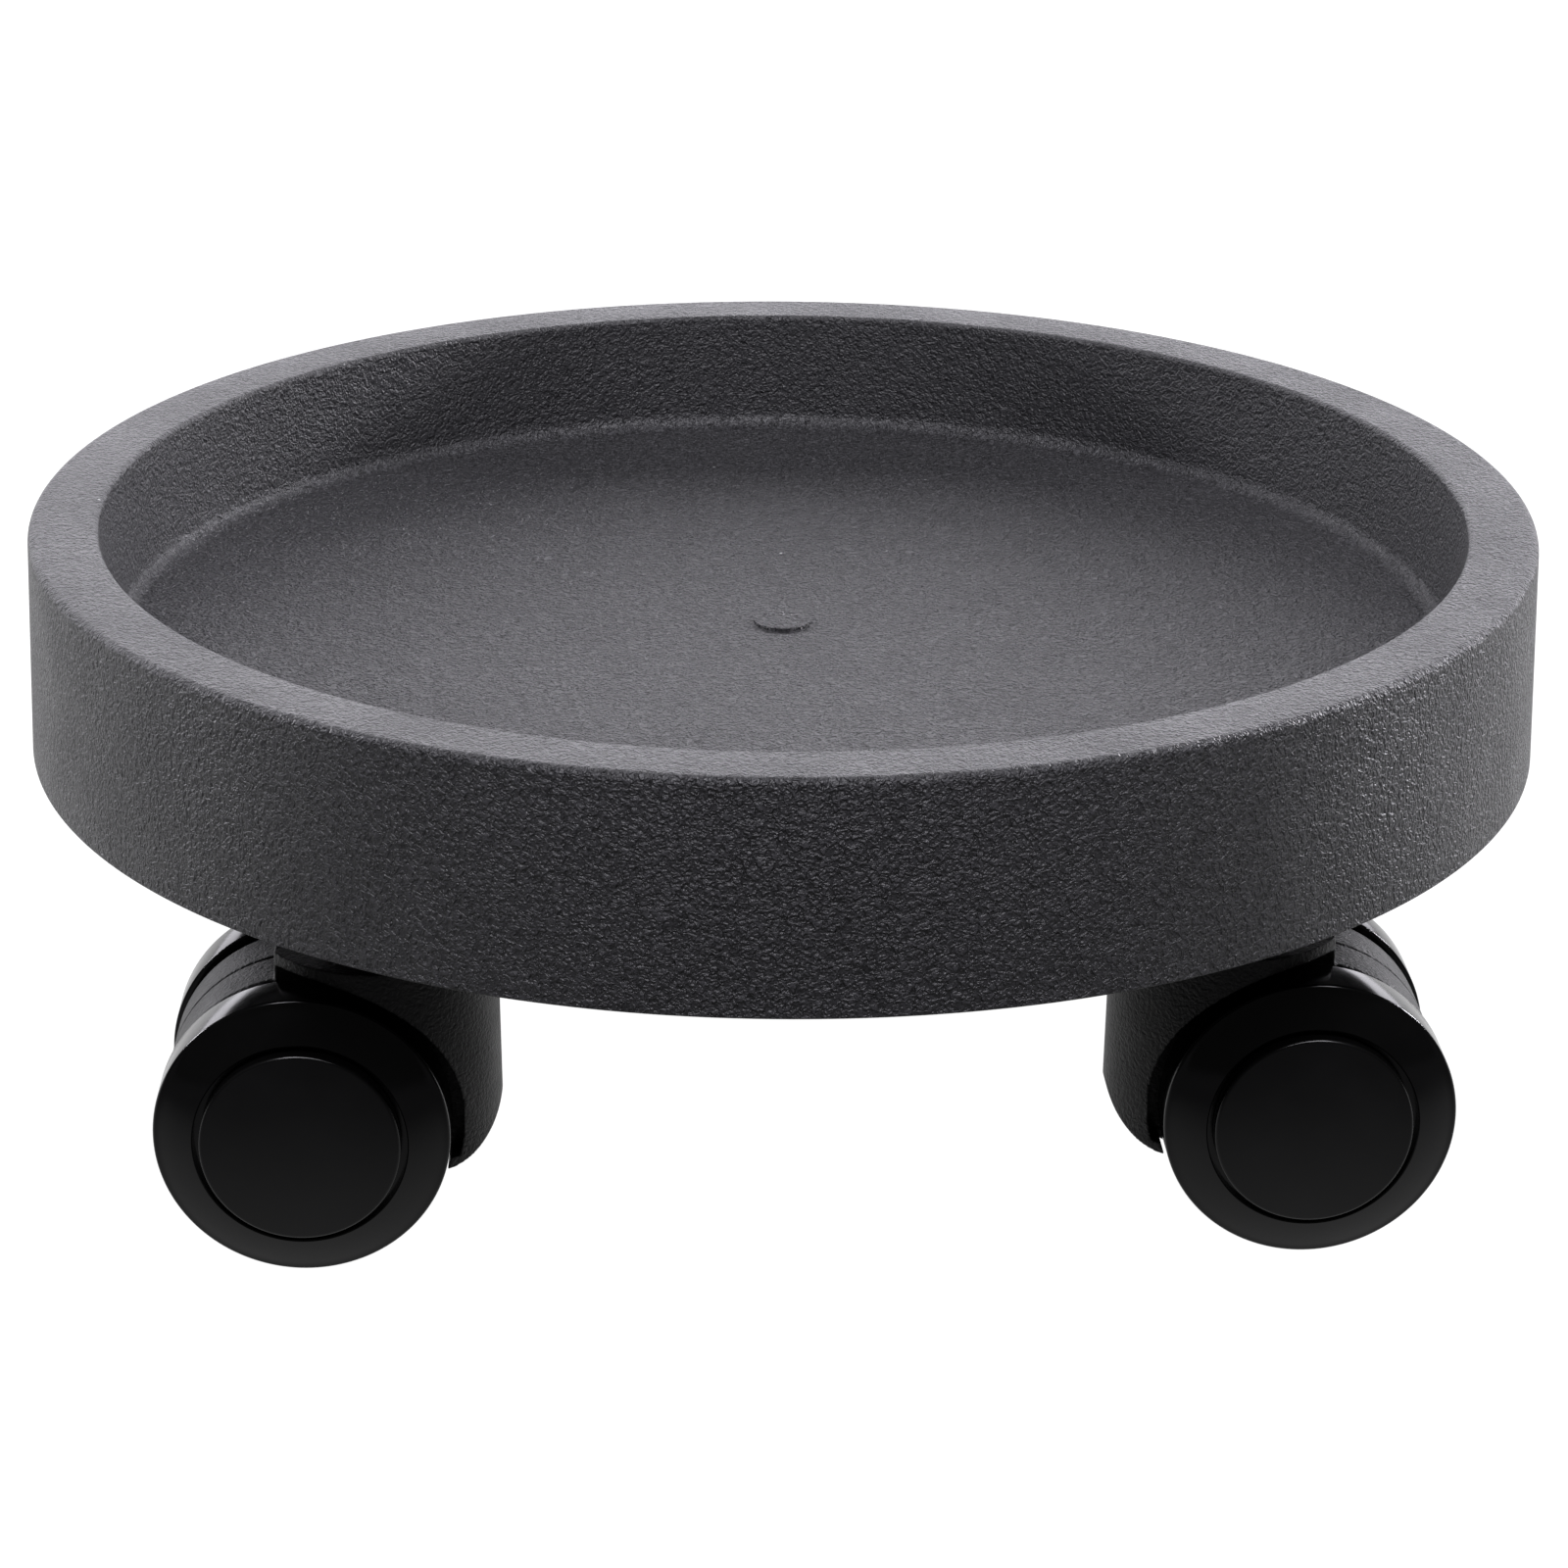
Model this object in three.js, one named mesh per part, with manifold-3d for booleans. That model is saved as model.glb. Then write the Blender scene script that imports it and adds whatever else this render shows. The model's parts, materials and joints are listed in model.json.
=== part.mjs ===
// Plant pot caddy: a round moulded tray that rolls on four hooded twin-wheel casters.
// Millimetres, +Z up, floor at z = 0, tray axis on the Z axis, front towards -Y.

import * as THREE from 'three';
import { mergeVertices } from 'three/addons/utils/BufferGeometryUtils.js';
import Module from 'manifold-3d';

const wasm = await Module();
wasm.setup();

// ---------------------------------------------------------------- tray
const RIM_Z = 105;                 // top of the rim above the floor
const RIM_OUTER_RADIUS = 135.5;    // outer wall at the rim
const RIM_INNER_RADIUS = 123;      // opening of the recess at the rim
const SKIRT_BOTTOM_RADIUS = 136.5; // the outer wall widens slightly downwards
const SKIRT_HEIGHT = 40.3;
const TRAY_WALL = 2.5;
const RIM_OUTER_ROUND = 1.5;
const RIM_INNER_ROUND = 1.0;
const RECESS_DEPTH = 22.7;
const FLOOR_RADIUS = 118;          // flat part of the recess floor
const FLOOR_FILLET = 3;
const GATE_BOSS_RADIUS = 5.3;      // small raised disc in the middle of the floor
const GATE_BOSS_HEIGHT = 0.6;
const GATE_DISH_RADIUS = 3.6;      // the disc is dished in the middle
const GATE_DISH_DEPTH = 0.25;
const TRAY_SEGMENTS = 72;
const FILLET_STEPS = 3;
const OUTER_ROUND_STEPS = 2;
const INNER_ROUND_STEPS = 1;
const OVERRUN = 1;                 // how far cutting and joining tools run past a face

const FLOOR_TOP_Z = RIM_Z - RECESS_DEPTH;
const FLOOR_UNDER_Z = FLOOR_TOP_Z - TRAY_WALL;
const SKIRT_BOTTOM_Z = RIM_Z - SKIRT_HEIGHT;
const RIM_UNDER_Z = RIM_Z - TRAY_WALL;
const RECESS_WALL_RADIUS = FLOOR_RADIUS + FLOOR_FILLET;
const GATE_BOSS_TOP_Z = FLOOR_TOP_Z + GATE_BOSS_HEIGHT;

// ribs under the tray
const RIB_THICKNESS = 2.2;
const FLOOR_RIB_HEIGHT = 9;
const FLOOR_RIB_COUNT = 8;
const HUB_RING_RADIUS = 16;
const RING_RIB_RADIUS = 62;
const RING_RIB_HEIGHT = 6;
const RIM_RIB_COUNT = 16;
const RIM_RIB_BOTTOM_Z = 88;
const GUSSET_REACH = 11;
const GUSSET_HEIGHT = 15;

// sockets that take the caster stems
const SOCKET_POSITION = 72.5;      // distance of each stem from both centre lines
const SOCKET_OUTER_RADIUS = 11;
const SOCKET_BORE_RADIUS = 5.8;
const SOCKET_BOTTOM_Z = 59.7;
const SOCKET_BORE_TOP_Z = 79.4;
const GUSSETS_PER_SOCKET = 4;
const GUSSET_TURN = 45;            // degrees from the X axis to the first gusset

// ---------------------------------------------------------------- casters
const WHEEL_RADIUS = 25;
const WHEEL_EDGE_Y = 21.5;         // outer edge of the tread from the middle of the caster
const WHEEL_CROWN_Y = 24.4;        // the outer face swells to this height round the hub cap
const WHEEL_FACE_SPHERE = 48;      // radius of that swelling
const WHEEL_INNER_Y = 12.6;        // inner edge of the tread
const WHEEL_RIM_THICKNESS = 2.8;
const WHEEL_FACE_INNER_Y = 19;
const WHEEL_EDGE_ROUND = 0.7;
const WHEEL_HUB_RADIUS = 7;
const WHEEL_HUB_INNER_Y = 10.7;
const WHEEL_BORE_RADIUS = 3.35;
const CAP_POCKET_RADIUS = 18;
const CAP_POCKET_FLOOR_Y = 22.6;
const CAP_RADIUS = 16.9;
const CAP_FRONT_Y = 25.8;
const CAP_EDGE_ROUND = 0.6;
const CAP_CLEARANCE = 0.3;
const WHEEL_SEGMENTS = 28;

const AXLE_RADIUS = 3;
const AXLE_HALF_LENGTH = 22.2;
const AXLE_CHAMFER = 0.5;
const AXLE_BORE_CLEARANCE = 0.3;

const TRAIL = 12.5;                // stem axis to axle, seen from above
const HOOD_RADIUS = 20.5;          // hood seen from above, round about the stem
const HOOD_TOP_RADIUS = 19.9;      // it tapers slightly upwards
const HOOD_TOP_Z = 54;
const HOOD_BACK = 17.2;            // flat back of the hood, behind the stem axis
const HOOD_LOW_ROUND = 8.8;        // lower front corner of the hood, seen from the side
const HOOD_LOW_Z = 16.6;
const HOOD_SEGMENTS = 40;
const HOOD_CORNER_STEPS = 6;
const WHEEL_WELL_RADIUS = 27;
const HOOD_LIP_RADIUS = 25.5;      // small lip at the lower end of each wheel well
const HOOD_LIP_TOP_Z = 18.6;
const WEB_HALF_WIDTH = 10.3;       // middle of the body, between the two wheels
const WEB_RADIUS = 24.3;
const WEB_BOTTOM_Z = 8;
const WEB_BOTTOM_FRONT = 8;        // where the flat bottom starts to rise, from the axle
const NECK_RADIUS = 10;
const NECK_TOP_Z = 57;
const STEM_BORE_RADIUS = 4.35;
const STEM_BORE_BOTTOM_Z = 33.6;

const STEM_COLLAR_RADIUS = 9;
const STEM_COLLAR_BOTTOM_Z = 57.4;
const STEM_COLLAR_TOP_Z = 59.4;
const STEM_UPPER_RADIUS = 5;
const STEM_TOP_Z = 79;
const STEM_TIP_CHAMFER = 1;
const STEM_JOURNAL_RADIUS = 4;
const STEM_JOURNAL_BOTTOM_Z = 34;
const STEM_SEGMENTS = 16;
const RING_GROOVE_RADIUS = 4.2;
const RING_GROOVE_BOTTOM_Z = 69;
const RING_GROOVE_TOP_Z = 76;
const RING_CLEARANCE = 0.3;
const RING_OUTER_RADIUS = 5.5;
const RING_SLOT_WIDTH = 1.6;

// Where each caster stands and which way its wheels trail, in degrees from +X.
const CASTERS = [
  { name: 'front_left', x: -1, y: -1, heading: 177.5 },
  { name: 'front_right', x: 1, y: -1, heading: 359.5 },
  { name: 'rear_left', x: -1, y: 1, heading: 125 },
  { name: 'rear_right', x: 1, y: 1, heading: 55 },
];

// ---------------------------------------------------------------- materials
const trayPlastic = () => material(0x3b3c3e, 0.72, 0);
const bodyPlastic = () => material(0x1d1d1f, 0.55, 0);
const wheelPlastic = () => material(0x131314, 0.22, 0);
const capPlastic = () => material(0x171718, 0.26, 0);
const steel = () => material(0xb4b7ba, 0.32, 1);

function material(color, roughness, metalness) {
  return new THREE.MeshStandardMaterial({ color, roughness, metalness });
}

// ---------------------------------------------------------------- solid helpers
function toSolid(geometry) {
  const bare = new THREE.BufferGeometry();
  bare.setAttribute('position', geometry.getAttribute('position').clone());
  if (geometry.index) bare.setIndex(geometry.index.clone());
  const merged = mergeVertices(bare, 1e-4);
  const triangles = [];
  const index = merged.index.array;
  for (let i = 0; i < index.length; i += 3) {
    const [a, b, c] = [index[i], index[i + 1], index[i + 2]];
    if (a !== b && b !== c && c !== a) triangles.push(a, b, c);
  }
  const vertProperties = new Float32Array(merged.getAttribute('position').array);
  const triVerts = new Uint32Array(outwardFacing(vertProperties, triangles));
  return new wasm.Manifold(new wasm.Mesh({ numProp: 3, vertProperties, triVerts }));
}

function outwardFacing(points, triangles) {
  const [a, b, c] = [new THREE.Vector3(), new THREE.Vector3(), new THREE.Vector3()];
  let volume = 0;
  for (let i = 0; i < triangles.length; i += 3) {
    a.fromArray(points, 3 * triangles[i]);
    b.fromArray(points, 3 * triangles[i + 1]);
    c.fromArray(points, 3 * triangles[i + 2]);
    volume += a.dot(b.cross(c));
  }
  return volume > 0 ? triangles : triangles.slice().reverse();
}

function toGeometry(solid) {
  const mesh = solid.getMesh();
  const geometry = new THREE.BufferGeometry();
  geometry.setAttribute('position', new THREE.BufferAttribute(new Float32Array(mesh.vertProperties), 3));
  geometry.setIndex(Array.from(mesh.triVerts));
  const flat = geometry.toNonIndexed();
  flat.computeVertexNormals();
  return flat;
}

// Turned solid about the Z axis; the profile is a list of [radius, z].
function turned(profile, segments) {
  const points = profile.map(([radius, z]) => new THREE.Vector2(radius, z));
  const geometry = new THREE.LatheGeometry(points, segments);
  geometry.rotateX(Math.PI / 2);
  return toSolid(geometry);
}

// Turned solid about the Y axis; the profile is a list of [radius, y].
function turnedAboutY(profile, segments) {
  const points = profile.map(([radius, y]) => new THREE.Vector2(radius, y));
  return toSolid(new THREE.LatheGeometry(points, segments));
}

function closed(profile) {
  return [...profile, profile[0]];
}

function block(width, depth, height, x, y, z) {
  const geometry = new THREE.BoxGeometry(width, depth, height);
  geometry.translate(x, y, z);
  return toSolid(geometry);
}

function upright(radius, bottom, top, segments, x = 0, y = 0) {
  const geometry = new THREE.CylinderGeometry(radius, radius, top - bottom, segments);
  geometry.rotateX(Math.PI / 2);
  geometry.translate(x, y, (top + bottom) / 2);
  return toSolid(geometry);
}

function alongY(radius, from, to, segments, x = 0, z = 0) {
  const geometry = new THREE.CylinderGeometry(radius, radius, to - from, segments);
  geometry.translate(x, (from + to) / 2, z);
  return toSolid(geometry);
}

// A side profile of [x, z] points, extruded over the given width about y = 0.
function plateAcross(profile, halfWidth) {
  const shape = new THREE.Shape(profile.map(([x, z]) => new THREE.Vector2(x, z)));
  const geometry = new THREE.ExtrudeGeometry(shape, { depth: 2 * halfWidth, bevelEnabled: false });
  geometry.rotateX(Math.PI / 2);
  geometry.translate(0, halfWidth, 0);
  return toSolid(geometry);
}

// Points on an arc in degrees, ends included.
function arc(cx, cy, radius, from, to, steps) {
  const points = [];
  for (let i = 0; i <= steps; i++) {
    const angle = THREE.MathUtils.degToRad(from + ((to - from) * i) / steps);
    points.push([cx + radius * Math.cos(angle), cy + radius * Math.sin(angle)]);
  }
  return points;
}

function turn(solid, degrees) {
  return solid.rotate([0, 0, degrees]);
}

function mesh(name, solid, surface) {
  const part = new THREE.Mesh(toGeometry(solid), surface);
  part.name = name;
  return part;
}

// ---------------------------------------------------------------- tray
// One moulded shell: skirt, rim, recess wall and floor, all the same thickness.
function trayShell() {
  const slope = (RIM_INNER_RADIUS - RECESS_WALL_RADIUS) / (RECESS_DEPTH - FLOOR_FILLET);
  const channelTop = RIM_INNER_RADIUS + TRAY_WALL - slope * TRAY_WALL;
  const underFillet = FLOOR_FILLET + TRAY_WALL;
  const outerRound = RIM_OUTER_RADIUS - RIM_OUTER_ROUND;
  const innerRound = RIM_INNER_RADIUS + RIM_INNER_ROUND;
  const profile = [
    [0, FLOOR_UNDER_Z],
    ...arc(FLOOR_RADIUS, FLOOR_UNDER_Z + underFillet, underFillet, -90, 0, FILLET_STEPS),
    [channelTop, RIM_UNDER_Z],
    [RIM_OUTER_RADIUS - TRAY_WALL, RIM_UNDER_Z],
    [SKIRT_BOTTOM_RADIUS - TRAY_WALL, SKIRT_BOTTOM_Z],
    [SKIRT_BOTTOM_RADIUS, SKIRT_BOTTOM_Z],
    ...arc(outerRound, RIM_Z - RIM_OUTER_ROUND, RIM_OUTER_ROUND, 0, 90, OUTER_ROUND_STEPS),
    ...arc(innerRound, RIM_Z - RIM_INNER_ROUND, RIM_INNER_ROUND, 90, 180, INNER_ROUND_STEPS),
    ...arc(FLOOR_RADIUS, FLOOR_TOP_Z + FLOOR_FILLET, FLOOR_FILLET, 0, -90, FILLET_STEPS),
    [GATE_BOSS_RADIUS, FLOOR_TOP_Z],
    [GATE_BOSS_RADIUS - GATE_BOSS_HEIGHT / 2, GATE_BOSS_TOP_Z],
    [GATE_DISH_RADIUS, GATE_BOSS_TOP_Z],
    [GATE_DISH_RADIUS - GATE_DISH_DEPTH, GATE_BOSS_TOP_Z - GATE_DISH_DEPTH],
    [0, GATE_BOSS_TOP_Z - GATE_DISH_DEPTH],
  ];
  return turned(profile, TRAY_SEGMENTS);
}

function ringRib(radius, height) {
  const [inner, outer] = [radius - RIB_THICKNESS / 2, radius + RIB_THICKNESS / 2];
  const [bottom, top] = [FLOOR_UNDER_Z - height, FLOOR_UNDER_Z + TRAY_WALL / 2];
  return turned(closed([[inner, bottom], [outer, bottom], [outer, top], [inner, top]]), TRAY_SEGMENTS / 2);
}

function floorRib() {
  const from = HUB_RING_RADIUS;
  const to = RECESS_WALL_RADIUS + TRAY_WALL / 2;
  const height = FLOOR_RIB_HEIGHT + TRAY_WALL / 2;
  const middle = FLOOR_UNDER_Z + TRAY_WALL / 2 - height / 2;
  return block(to - from, RIB_THICKNESS, height, (from + to) / 2, 0, middle);
}

// Short rib that ties the recess wall to the skirt inside the rim.
function rimRib() {
  const from = RIM_INNER_RADIUS + TRAY_WALL / 2;
  const to = RIM_OUTER_RADIUS - TRAY_WALL / 2;
  const height = RIM_UNDER_Z + TRAY_WALL / 2 - RIM_RIB_BOTTOM_Z;
  return block(to - from, RIB_THICKNESS, height, (from + to) / 2, 0, RIM_RIB_BOTTOM_Z + height / 2);
}

// Triangular web that stiffens a socket against the floor, on its +X side.
function socketGusset() {
  const near = SOCKET_BORE_RADIUS + OVERRUN;
  const far = SOCKET_OUTER_RADIUS + GUSSET_REACH;
  const top = FLOOR_UNDER_Z + TRAY_WALL / 2;
  const low = FLOOR_UNDER_Z - GUSSET_HEIGHT;
  const profile = [[near, top], [near, low], [SOCKET_OUTER_RADIUS, low], [far, FLOOR_UNDER_Z], [far, top]];
  return plateAcross(profile, RIB_THICKNESS / 2);
}

function socket() {
  let solid = upright(SOCKET_OUTER_RADIUS, SOCKET_BOTTOM_Z, FLOOR_UNDER_Z + TRAY_WALL / 2, STEM_SEGMENTS);
  for (let i = 0; i < GUSSETS_PER_SOCKET; i++) {
    solid = solid.add(turn(socketGusset(), GUSSET_TURN + (360 * i) / GUSSETS_PER_SOCKET));
  }
  return solid;
}

function tray() {
  let solid = trayShell();
  solid = solid.add(ringRib(HUB_RING_RADIUS, FLOOR_RIB_HEIGHT));
  solid = solid.add(ringRib(RING_RIB_RADIUS, RING_RIB_HEIGHT));
  for (let i = 0; i < FLOOR_RIB_COUNT; i++) {
    solid = solid.add(turn(floorRib(), (360 * i) / FLOOR_RIB_COUNT));
  }
  for (let i = 0; i < RIM_RIB_COUNT; i++) {
    solid = solid.add(turn(rimRib(), (360 * (i + 0.5)) / RIM_RIB_COUNT));
  }
  for (const caster of CASTERS) {
    const place = [caster.x * SOCKET_POSITION, caster.y * SOCKET_POSITION, 0];
    const bore = upright(SOCKET_BORE_RADIUS, SOCKET_BOTTOM_Z - OVERRUN, SOCKET_BORE_TOP_Z, STEM_SEGMENTS);
    solid = solid.add(socket().translate(place));
    solid = solid.subtract(bore.translate(place));
  }
  return solid;
}

// ---------------------------------------------------------------- caster parts
// Each part is drawn with its stem on the Z axis and its wheels trailing towards +X.

// Rounded lower front corner of the hood in side view, from the tip up to the front wall.
function hoodLowCorner() {
  const cx = -HOOD_RADIUS + HOOD_LOW_ROUND;
  const cz = HOOD_LOW_Z + HOOD_LOW_ROUND;
  return arc(cx, cz, HOOD_LOW_ROUND, 270, 180, HOOD_CORNER_STEPS);
}

// Side outlines that trim the hood and the middle of the body from below.
function hoodOutline() {
  const back = HOOD_RADIUS + OVERRUN;
  return [[back, HOOD_LOW_Z], ...hoodLowCorner(), [-HOOD_RADIUS, HOOD_TOP_Z], [back, HOOD_TOP_Z]];
}

function webOutline() {
  const back = TRAIL + WHEEL_RADIUS;
  const rise = [TRAIL - WEB_BOTTOM_FRONT, WEB_BOTTOM_Z];
  const top = [[-HOOD_RADIUS, HOOD_TOP_Z], [back, HOOD_TOP_Z]];
  return [[back, WEB_BOTTOM_Z], rise, ...hoodLowCorner(), ...top];
}

// Room for one wheel: a round well with a small lip at its lower front end.
function wheelWell(side) {
  const outer = HOOD_RADIUS + OVERRUN;
  const [from, to] = side > 0 ? [WEB_HALF_WIDTH, outer] : [-outer, -WEB_HALF_WIDTH];
  const well = alongY(WHEEL_WELL_RADIUS, from, to, HOOD_SEGMENTS, TRAIL, WHEEL_RADIUS);
  const lip = alongY(HOOD_LIP_RADIUS, from, to, HOOD_SEGMENTS, TRAIL, WHEEL_RADIUS);
  const reach = 2 * WHEEL_WELL_RADIUS;
  const below = block(2 * reach, 2 * reach, reach, TRAIL, 0, HOOD_LIP_TOP_Z - reach / 2);
  return well.subtract(below).add(lip);
}

// The upright round drum, a little narrower at the top and flat behind, that the hood is cut from.
function drum(bottom) {
  const height = HOOD_TOP_Z - bottom;
  const geometry = new THREE.CylinderGeometry(HOOD_TOP_RADIUS, HOOD_RADIUS, height, HOOD_SEGMENTS);
  geometry.rotateX(Math.PI / 2);
  const middle = (HOOD_TOP_Z + bottom) / 2;
  geometry.translate(0, 0, middle);
  const side = 2 * HOOD_RADIUS + OVERRUN;
  const behind = block(side, side, height + 2 * OVERRUN, HOOD_BACK + side / 2, 0, middle);
  return toSolid(geometry).subtract(behind);
}

function hood() {
  const outline = plateAcross(hoodOutline(), HOOD_RADIUS + OVERRUN);
  const trimmed = drum(HOOD_LOW_Z - OVERRUN).intersect(outline);
  return trimmed.subtract(wheelWell(1)).subtract(wheelWell(-1));
}

// Middle of the body between the wheels: a round web behind, the filled hood in front.
function web() {
  const disc = alongY(WEB_RADIUS, -WEB_HALF_WIDTH, WEB_HALF_WIDTH, HOOD_SEGMENTS, TRAIL, WHEEL_RADIUS);
  const filled = drum(HOOD_LOW_Z - OVERRUN).add(frontFill()).add(disc);
  return plateAcross(webOutline(), WEB_HALF_WIDTH).intersect(filled);
}

// Continues the drum downwards so that the bottom of the body slopes without a step.
function frontFill() {
  return upright(HOOD_RADIUS, WEB_BOTTOM_Z - OVERRUN, HOOD_LOW_Z, HOOD_SEGMENTS);
}

function casterBody() {
  const axleBoreRadius = AXLE_RADIUS + AXLE_BORE_CLEARANCE;
  return hood()
    .add(web())
    .add(upright(NECK_RADIUS, HOOD_TOP_Z - OVERRUN, NECK_TOP_Z, STEM_SEGMENTS))
    .subtract(upright(STEM_BORE_RADIUS, STEM_BORE_BOTTOM_Z, NECK_TOP_Z + OVERRUN, STEM_SEGMENTS))
    .subtract(alongY(axleBoreRadius, -HOOD_RADIUS, HOOD_RADIUS, STEM_SEGMENTS, TRAIL, WHEEL_RADIUS));
}

function stem() {
  return turned([
    [0, STEM_JOURNAL_BOTTOM_Z],
    [STEM_JOURNAL_RADIUS - STEM_TIP_CHAMFER, STEM_JOURNAL_BOTTOM_Z],
    [STEM_JOURNAL_RADIUS, STEM_JOURNAL_BOTTOM_Z + STEM_TIP_CHAMFER],
    [STEM_JOURNAL_RADIUS, STEM_COLLAR_BOTTOM_Z],
    [STEM_COLLAR_RADIUS, STEM_COLLAR_BOTTOM_Z],
    [STEM_COLLAR_RADIUS, STEM_COLLAR_TOP_Z],
    [STEM_UPPER_RADIUS, STEM_COLLAR_TOP_Z],
    [STEM_UPPER_RADIUS, RING_GROOVE_BOTTOM_Z],
    [RING_GROOVE_RADIUS, RING_GROOVE_BOTTOM_Z],
    [RING_GROOVE_RADIUS, RING_GROOVE_TOP_Z],
    [STEM_UPPER_RADIUS, RING_GROOVE_TOP_Z],
    [STEM_UPPER_RADIUS, STEM_TOP_Z - STEM_TIP_CHAMFER],
    [STEM_UPPER_RADIUS - STEM_TIP_CHAMFER, STEM_TOP_Z],
    [0, STEM_TOP_Z],
  ], STEM_SEGMENTS);
}

// Split spring ring in the stem groove; it grips the socket bore.
function gripRing() {
  const inner = RING_GROOVE_RADIUS + RING_CLEARANCE;
  const bottom = RING_GROOVE_BOTTOM_Z + RING_CLEARANCE;
  const top = RING_GROOVE_TOP_Z - RING_CLEARANCE;
  const outer = RING_OUTER_RADIUS;
  const section = [[inner, bottom], [outer, bottom], [outer, top], [inner, top]];
  const sleeve = turned(closed(section), STEM_SEGMENTS);
  const slot = block(2 * outer, RING_SLOT_WIDTH, top - bottom + 2 * OVERRUN, outer, 0, (top + bottom) / 2);
  return sleeve.subtract(slot);
}

function axle() {
  const end = AXLE_HALF_LENGTH;
  const chamfered = AXLE_RADIUS - AXLE_CHAMFER;
  const profile = [
    [0, -end],
    [chamfered, -end],
    [AXLE_RADIUS, -end + AXLE_CHAMFER],
    [AXLE_RADIUS, end - AXLE_CHAMFER],
    [chamfered, end],
    [0, end],
  ];
  return turnedAboutY(profile, STEM_SEGMENTS).translate([TRAIL, 0, WHEEL_RADIUS]);
}

// Cup-shaped wheel: tread, swollen outer face with a pocket for the hub cap, hub on the axle.
function wheel() {
  const rimInner = WHEEL_RADIUS - WHEEL_RIM_THICKNESS;
  const edge = WHEEL_RADIUS - WHEEL_EDGE_ROUND;
  return turnedAboutY(closed([
    [WHEEL_BORE_RADIUS, WHEEL_HUB_INNER_Y],
    [WHEEL_HUB_RADIUS, WHEEL_HUB_INNER_Y],
    [WHEEL_HUB_RADIUS, WHEEL_FACE_INNER_Y],
    [rimInner, WHEEL_FACE_INNER_Y],
    [rimInner, WHEEL_INNER_Y],
    [WHEEL_RADIUS, WHEEL_INNER_Y],
    [WHEEL_RADIUS, WHEEL_EDGE_Y - WHEEL_EDGE_ROUND],
    [edge, faceHeight(edge)],
    [(edge + CAP_POCKET_RADIUS) / 2, faceHeight((edge + CAP_POCKET_RADIUS) / 2)],
    [CAP_POCKET_RADIUS, faceHeight(CAP_POCKET_RADIUS)],
    [CAP_POCKET_RADIUS, CAP_POCKET_FLOOR_Y],
    [WHEEL_BORE_RADIUS, CAP_POCKET_FLOOR_Y],
  ]), WHEEL_SEGMENTS).translate([TRAIL, 0, WHEEL_RADIUS]);
}

// Height of the swollen wheel face at a radius, measured from the middle of the caster.
function faceHeight(radius) {
  const fall = (r) => WHEEL_FACE_SPHERE - Math.sqrt(WHEEL_FACE_SPHERE ** 2 - r ** 2);
  return WHEEL_CROWN_Y + fall(CAP_POCKET_RADIUS) - fall(radius);
}

function hubCap() {
  const back = CAP_POCKET_FLOOR_Y + CAP_CLEARANCE;
  return turnedAboutY([
    [0, back],
    [CAP_RADIUS, back],
    [CAP_RADIUS, CAP_FRONT_Y - CAP_EDGE_ROUND],
    [CAP_RADIUS - CAP_EDGE_ROUND, CAP_FRONT_Y],
    [0, CAP_FRONT_Y],
  ], WHEEL_SEGMENTS).translate([TRAIL, 0, WHEEL_RADIUS]);
}

function acrossCaster(solid) {
  return solid.mirror([0, 1, 0]);
}

function casterMeshes(caster) {
  const place = [caster.x * SOCKET_POSITION, caster.y * SOCKET_POSITION, 0];
  const put = (part, solid, surface) => {
    return mesh(`${caster.name}_${part}`, turn(solid, caster.heading).translate(place), surface);
  };
  return [
    put('stem', stem(), steel()),
    put('grip_ring', gripRing(), steel()),
    put('caster_body', casterBody(), bodyPlastic()),
    put('axle', axle(), steel()),
    put('wheel_left', wheel(), wheelPlastic()),
    put('wheel_right', acrossCaster(wheel()), wheelPlastic()),
    put('hub_cap_left', hubCap(), capPlastic()),
    put('hub_cap_right', acrossCaster(hubCap()), capPlastic()),
  ];
}

// ---------------------------------------------------------------- assembly
const group = new THREE.Group();
group.name = 'plant_pot_caddy';
group.add(mesh('tray', tray(), trayPlastic()));
for (const caster of CASTERS) {
  group.add(...casterMeshes(caster));
}

export default group;
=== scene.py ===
"""Plant pot caddy: a moulded tray on four hooded twin-wheel casters, in a pale studio.

Shapes are drawn in millimetres and scaled to metres. Each caster is drawn once, with its stem on
the Z axis and its wheels trailing towards +X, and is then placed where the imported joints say.
"""

import json
import math

import bmesh
import bpy
from mathutils import Matrix, Vector


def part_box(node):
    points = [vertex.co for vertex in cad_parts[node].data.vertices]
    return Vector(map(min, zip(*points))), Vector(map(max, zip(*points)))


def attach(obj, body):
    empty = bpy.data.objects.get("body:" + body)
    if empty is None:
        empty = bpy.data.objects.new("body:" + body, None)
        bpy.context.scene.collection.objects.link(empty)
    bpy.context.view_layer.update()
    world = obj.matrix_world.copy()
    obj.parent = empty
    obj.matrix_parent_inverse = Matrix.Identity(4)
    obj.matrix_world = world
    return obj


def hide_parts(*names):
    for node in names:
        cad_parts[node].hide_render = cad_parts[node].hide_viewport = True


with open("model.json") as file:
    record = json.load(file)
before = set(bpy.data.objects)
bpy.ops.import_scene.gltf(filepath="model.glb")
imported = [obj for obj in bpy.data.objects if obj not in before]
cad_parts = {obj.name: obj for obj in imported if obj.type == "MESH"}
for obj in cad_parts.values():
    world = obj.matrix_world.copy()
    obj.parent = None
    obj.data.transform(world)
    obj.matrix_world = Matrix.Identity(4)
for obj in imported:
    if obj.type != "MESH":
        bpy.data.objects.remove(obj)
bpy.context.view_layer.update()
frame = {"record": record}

MM = 0.001

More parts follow.
